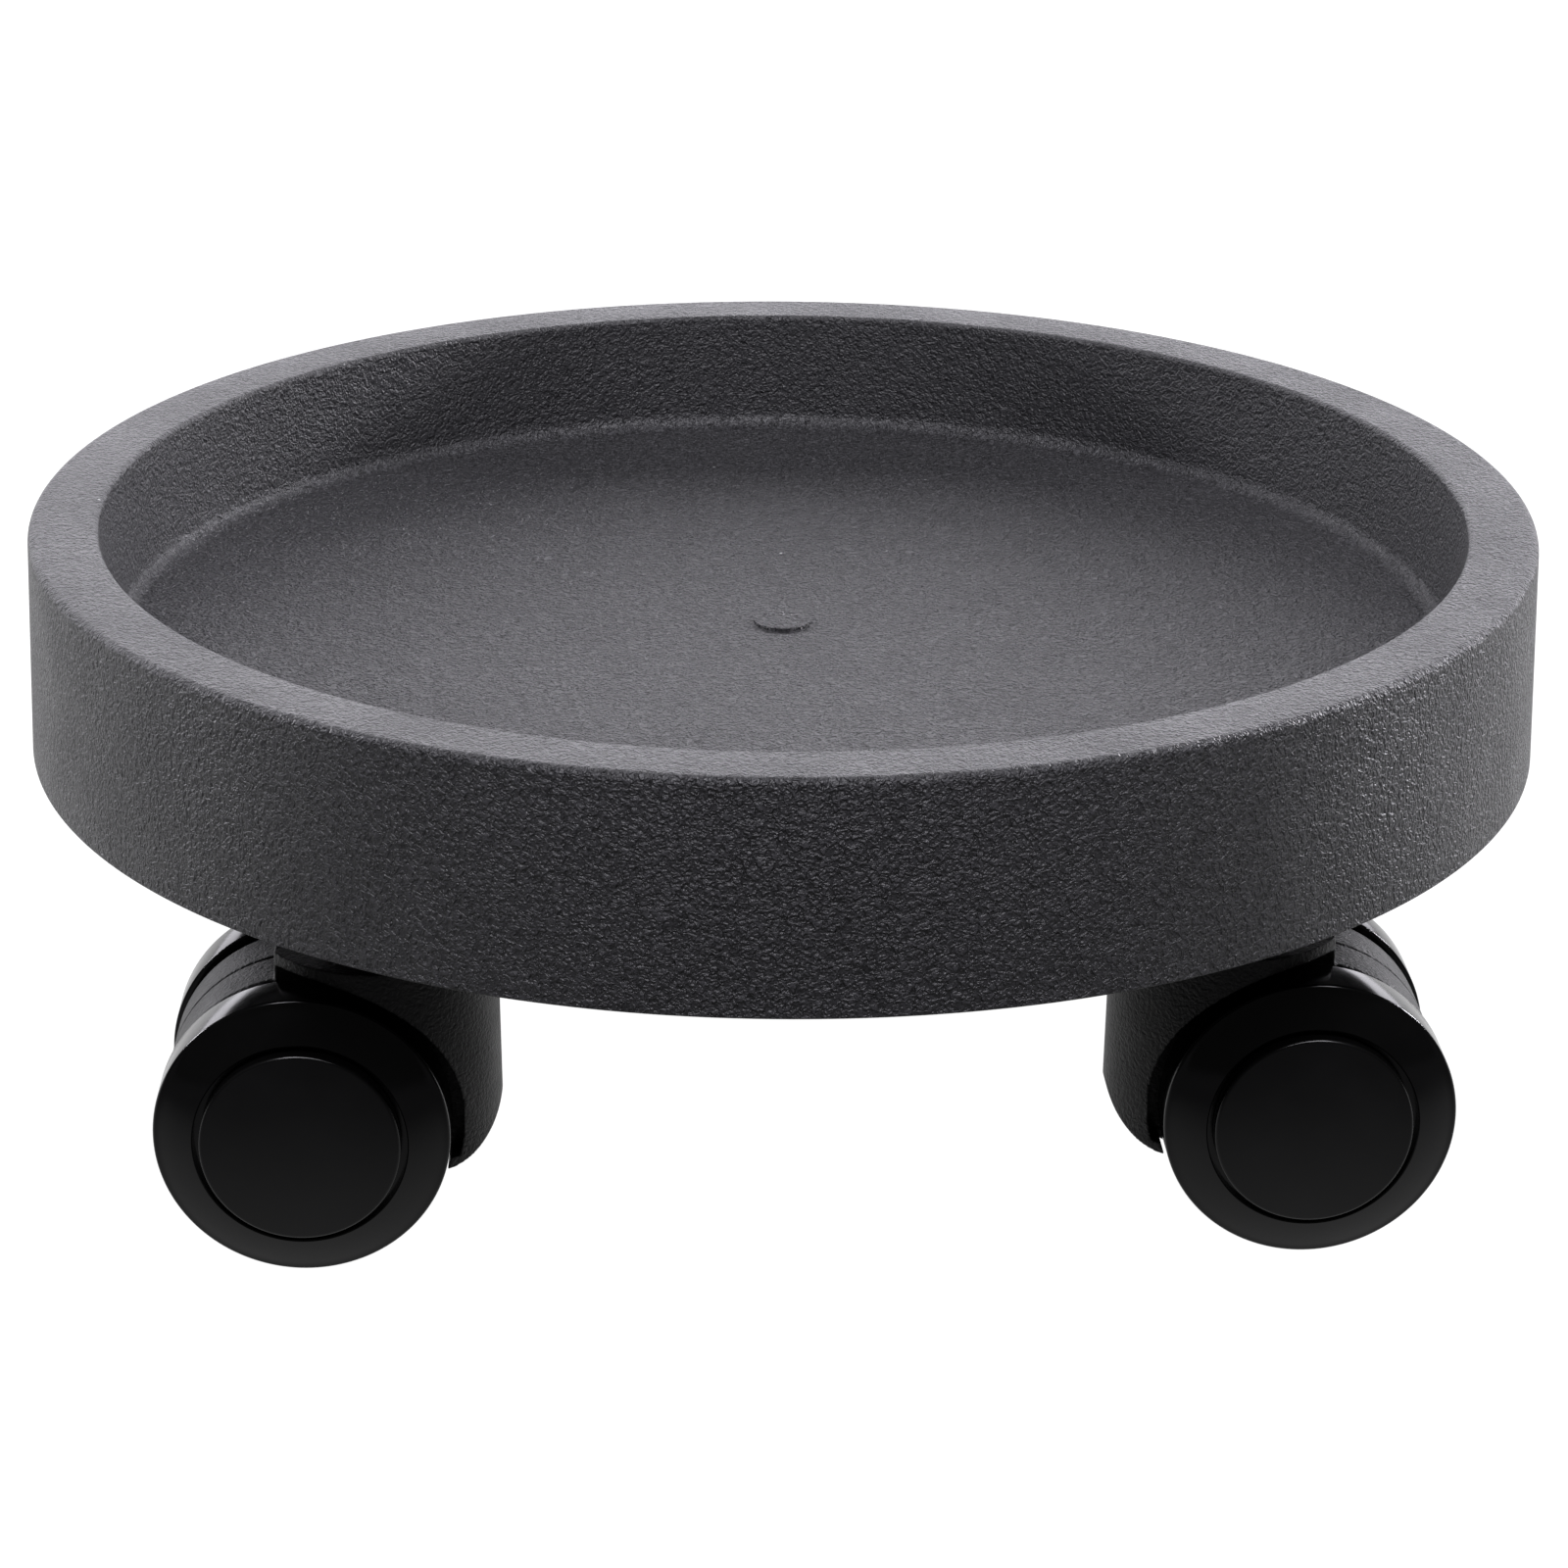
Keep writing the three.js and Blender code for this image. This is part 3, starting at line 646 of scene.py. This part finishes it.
def web():
    """The middle of the body: a round web behind, split by a seam, and a filled front under the hood."""
    back = TRAIL + WHEEL_RADIUS
    rise = (TRAIL - WEB_BOTTOM_FRONT, WEB_BOTTOM_Z)
    top = [(-HOOD_RADIUS, HOOD_TOP_Z), (back, HOOD_TOP_Z)]
    outline = [(back, WEB_BOTTOM_Z), rise, *hood_corner(), *top]
    halves = [
        (WEB_RADIUS - WEB_CHAMFER, -WEB_HALF_WIDTH), (WEB_RADIUS, -WEB_HALF_WIDTH + WEB_CHAMFER),
        (WEB_RADIUS, -SEAM_HALF_WIDTH), (WEB_RADIUS - SEAM_DEPTH, -SEAM_HALF_WIDTH),
        (WEB_RADIUS - SEAM_DEPTH, SEAM_HALF_WIDTH), (WEB_RADIUS, SEAM_HALF_WIDTH),
        (WEB_RADIUS, WEB_HALF_WIDTH - WEB_CHAMFER), (WEB_RADIUS - WEB_CHAMFER, WEB_HALF_WIDTH),
    ]
    disc = turned("web", [(0, -WEB_HALF_WIDTH), *halves, (0, WEB_HALF_WIDTH)], BODY_SEGMENTS, "Y")
    disc.transform(Matrix.Translation((TRAIL, 0, WHEEL_RADIUS)))
    front = post("front", HOOD_RADIUS, WEB_BOTTOM_Z - OVERRUN, HOOD_LOW_Z, BODY_SEGMENTS)
    whole = combined(disc, [drum(), front], "UNION")
    return combined(extruded("trim", outline, WEB_HALF_WIDTH), [whole], "INTERSECT")


def caster_body():
    neck = post("neck", NECK_RADIUS, HOOD_TOP_Z - OVERRUN, NECK_TOP_Z, STEEL_SEGMENTS)
    solid = combined(hood(), [web(), neck], "UNION")
    stem_bore = post("stem_bore", STEM_BORE, STEM_BORE_BOTTOM_Z, NECK_TOP_Z + OVERRUN, STEEL_SEGMENTS)
    axle_bore = across("axle_bore", AXLE_BORE, -HOOD_RADIUS, HOOD_RADIUS, STEEL_SEGMENTS)
    bored = combined(solid, [stem_bore, axle_bore], "DIFFERENCE")
    return finished(softened(bored, BODY_VOXEL, BODY_SMOOTHING, BODY_KEEP), crease=BODY_CREASE)


def about_axle(mesh, side):
    """Places a part turned about Y on the axle, on the left (side 1) or mirrored to the right (-1)."""
    mesh.transform(Matrix.Translation((TRAIL, 0, WHEEL_RADIUS)) @ Matrix.Diagonal((1, side, 1, 1)))
    if side < 0:
        mesh.flip_normals()
    return finished(mesh, crease=PART_CREASE)


def face_height(radius):
    """Height of the swollen wheel face at a radius, from the middle of the caster."""
    def fall(r):
        return FACE_SPHERE - math.sqrt(FACE_SPHERE**2 - r**2)
    return WHEEL_CROWN_Y + fall(POCKET_RADIUS) - fall(radius)


def wheel(side):
    rim_inner = WHEEL_RADIUS - TREAD_THICKNESS
    edge = WHEEL_RADIUS - WHEEL_ROUND
    tread, fillet = TREAD_EDGE_ROUND, WHEEL_INSIDE_ROUND
    inside = FACE_INNER_Y - fillet
    run = POCKET_RADIUS + POCKET_CHAMFER - edge
    swell = [edge + run * i / FACE_STEPS for i in range(1, FACE_STEPS + 1)]
    profile = [
        (WHEEL_BORE, WHEEL_HUB_Y), (WHEEL_HUB_RADIUS, WHEEL_HUB_Y), (WHEEL_HUB_RADIUS, inside),
        *arc(WHEEL_HUB_RADIUS + fillet, inside, fillet, 180, 90, SMALL_ROUND_STEPS),
        *arc(rim_inner - fillet, inside, fillet, 90, 0, SMALL_ROUND_STEPS),
        (rim_inner, WHEEL_INNER_Y),
        *arc(WHEEL_RADIUS - tread, WHEEL_INNER_Y + tread, tread, -90, 0, SMALL_ROUND_STEPS),
        *arc(edge, face_height(edge) - WHEEL_ROUND, WHEEL_ROUND, 0, 80, ROUND_STEPS),
        *[(r, face_height(r)) for r in swell],
        (POCKET_RADIUS, face_height(POCKET_RADIUS) - POCKET_CHAMFER), (POCKET_RADIUS, POCKET_FLOOR_Y),
        (WHEEL_BORE, POCKET_FLOOR_Y),
    ]
    return about_axle(turned("wheel", profile, WHEEL_SEGMENTS, "Y", closed=True), side)


def hub_cap(side):
    profile = [
        (0, CAP_BACK_Y), (CAP_RADIUS - CAP_CHAMFER, CAP_BACK_Y), (CAP_RADIUS, CAP_BACK_Y + CAP_CHAMFER),
        *arc(CAP_RADIUS - CAP_ROUND, CAP_FRONT_Y - CAP_ROUND, CAP_ROUND, 0, 90, ROUND_STEPS),
        (0, CAP_FRONT_Y),
    ]
    return about_axle(turned("hub_cap", profile, WHEEL_SEGMENTS, "Y"), side)


def axle():
    end, c = AXLE_HALF_LENGTH, STEEL_CHAMFER
    profile = [
        (0, -end), (AXLE_RADIUS - c, -end), (AXLE_RADIUS, -end + c),
        (AXLE_RADIUS, end - c), (AXLE_RADIUS - c, end), (0, end),
    ]
    return about_axle(turned("axle", profile, STEEL_SEGMENTS, "Y"), 1)


def stem():
    c = STEEL_CHAMFER
    profile = [
        (0, JOURNAL_BOTTOM_Z), (JOURNAL_RADIUS - c, JOURNAL_BOTTOM_Z),
        (JOURNAL_RADIUS, JOURNAL_BOTTOM_Z + c), (JOURNAL_RADIUS, COLLAR_BOTTOM_Z),
        (COLLAR_RADIUS, COLLAR_BOTTOM_Z), (COLLAR_RADIUS, COLLAR_TOP_Z),
        (STEM_RADIUS, COLLAR_TOP_Z), (STEM_RADIUS, GROOVE_BOTTOM_Z), (GROOVE_RADIUS, GROOVE_BOTTOM_Z),
        (GROOVE_RADIUS, GROOVE_TOP_Z), (STEM_RADIUS, GROOVE_TOP_Z),
        (STEM_RADIUS, STEM_TOP_Z - c), (STEM_RADIUS - c, STEM_TOP_Z), (0, STEM_TOP_Z),
    ]
    return finished(turned("stem", profile, STEEL_SEGMENTS), crease=PART_CREASE)


def grip_ring():
    inner, low, high = GROOVE_RADIUS + RING_GAP, GROOVE_BOTTOM_Z + RING_GAP, GROOVE_TOP_Z - RING_GAP
    profile = [(inner, low), (RING_RADIUS, low), (RING_RADIUS, high), (inner, high)]
    sleeve = turned("grip_ring", profile, STEEL_SEGMENTS, closed=True)
    half, reach = RING_SLOT / 2, 2 * RING_RADIUS
    slot = block("slot", (0, -half, low - OVERRUN), (reach, half, high + OVERRUN))
    return finished(combined(sleeve, [slot], "DIFFERENCE"), crease=PART_CREASE)


# ------------------------------------------------------------------ assembly
def show(name, mesh, material, body, node, matrix=None):
    """Puts a piece in place of its CAD node, on that node's body."""
    piece = bpy.data.objects.new(name, mesh)
    bpy.context.scene.collection.objects.link(piece)
    if not mesh.materials:
        mesh.materials.append(material)
    if matrix is not None:
        piece.matrix_world = matrix
    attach(piece, body)
    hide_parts(node)


def caster_matrix(caster):
    """From the frame a caster is drawn in to where it stands, trailing towards its axle."""
    stem_at = Vector(JOINTS[f"{caster}_swivel"]["pos_m"])
    axle_at = Vector(JOINTS[f"{caster}_roll_left"]["pos_m"])
    heading = math.atan2(axle_at.y - stem_at.y, axle_at.x - stem_at.x)
    return Matrix.Translation((stem_at.x, stem_at.y, 0)) @ Matrix.Rotation(heading, 4, "Z")


def casters():
    body, black, caps, steel = (
        hood_plastic(),
        gloss_plastic("wheel_black_plastic", 0.0016, 0.11, 0.18),
        gloss_plastic("cap_black_plastic", 0.0018, 0.18, 0.27),
        zinc_steel(),
    )
    parts = [
        ("stem", stem(), steel, "tray_assembly", "zinc_steel"),
        ("grip_ring", grip_ring(), steel, "tray_assembly", "zinc_steel"),
        ("caster_body", caster_body(), body, "{}_caster", "caster_body_plastic"),
        ("axle", axle(), steel, "{}_caster", "zinc_steel"),
        ("wheel_left", wheel(1), black, "{}_wheel_left_body", "wheel_plastic"),
        ("wheel_right", wheel(-1), black, "{}_wheel_right_body", "wheel_plastic"),
        ("hub_cap_left", hub_cap(1), caps, "{}_wheel_left_body", "cap_plastic"),
        ("hub_cap_right", hub_cap(-1), caps, "{}_wheel_right_body", "cap_plastic"),
    ]
    for caster in CASTERS:
        matrix = caster_matrix(caster)
        for part, mesh, material, moves_with, slot in parts:
            node = f"{caster}_{part}"
            show(f"{node}_visual", mesh, material, moves_with.format(caster), node, matrix)


# ------------------------------------------------------------------ studio
def area_light(name, place, width, height, power):
    light = bpy.data.lights.new(name, "AREA")
    light.shape = "RECTANGLE"
    light.size = width
    light.size_y = height
    light.energy = power
    light.color = STUDIO_TINT
    lamp = bpy.data.objects.new(name, light)
    bpy.context.scene.collection.objects.link(lamp)
    lamp.location = place
    toward = Vector(LIGHT_TARGET) - Vector(place)
    lamp.rotation_euler = toward.to_track_quat("-Z", "Y").to_euler()
    lamp.visible_camera = False


def pale_world():
    """Surroundings that show white but light the object only faintly."""
    world = bpy.data.worlds.new("studio")
    world.use_nodes = True
    tree = world.node_tree
    seen = tree.nodes.new("ShaderNodeLightPath").outputs["Is Camera Ray"]
    strength = tree.nodes.new("ShaderNodeMath")
    strength.operation = "MAXIMUM"
    strength.inputs[1].default_value = WORLD_LIGHT
    tree.links.new(seen, strength.inputs[0])
    tree.links.new(strength.outputs[0], tree.nodes["Background"].inputs["Strength"])
    tree.nodes["Background"].inputs["Color"].default_value = grey(1.0)
    return world


def studio():
    bm = bmesh.new()
    bmesh.ops.create_grid(bm, x_segments=8, y_segments=8, size=FLOOR_HALF_SIZE)
    floor = object_of(mesh_from(bm, "floor"))
    floor.data.materials.append(pale_floor())
    bpy.context.scene.world = pale_world()
    for name, place, width, height, power in LIGHTS:
        area_light(name, place, width, height, power)
    bpy.context.scene.view_settings.view_transform = "Standard"


def camera():
    lens = bpy.data.cameras.new("camera")
    lens.lens = CAMERA_LENS
    lens.sensor_width = CAMERA_SENSOR
    eye = bpy.data.objects.new("camera", lens)
    bpy.context.scene.collection.objects.link(eye)
    look = (CAMERA_TARGET - CAMERA_PLACE).to_track_quat("-Z", "Y").to_matrix().to_4x4()
    eye.matrix_world = Matrix.Translation(CAMERA_PLACE) @ look @ Matrix.Rotation(CAMERA_ROLL, 4, "Z")
    bpy.context.scene.camera = eye


camera()
studio()
show("tray_visual", tray(), tray_plastic(), "tray_assembly", "tray")
casters()
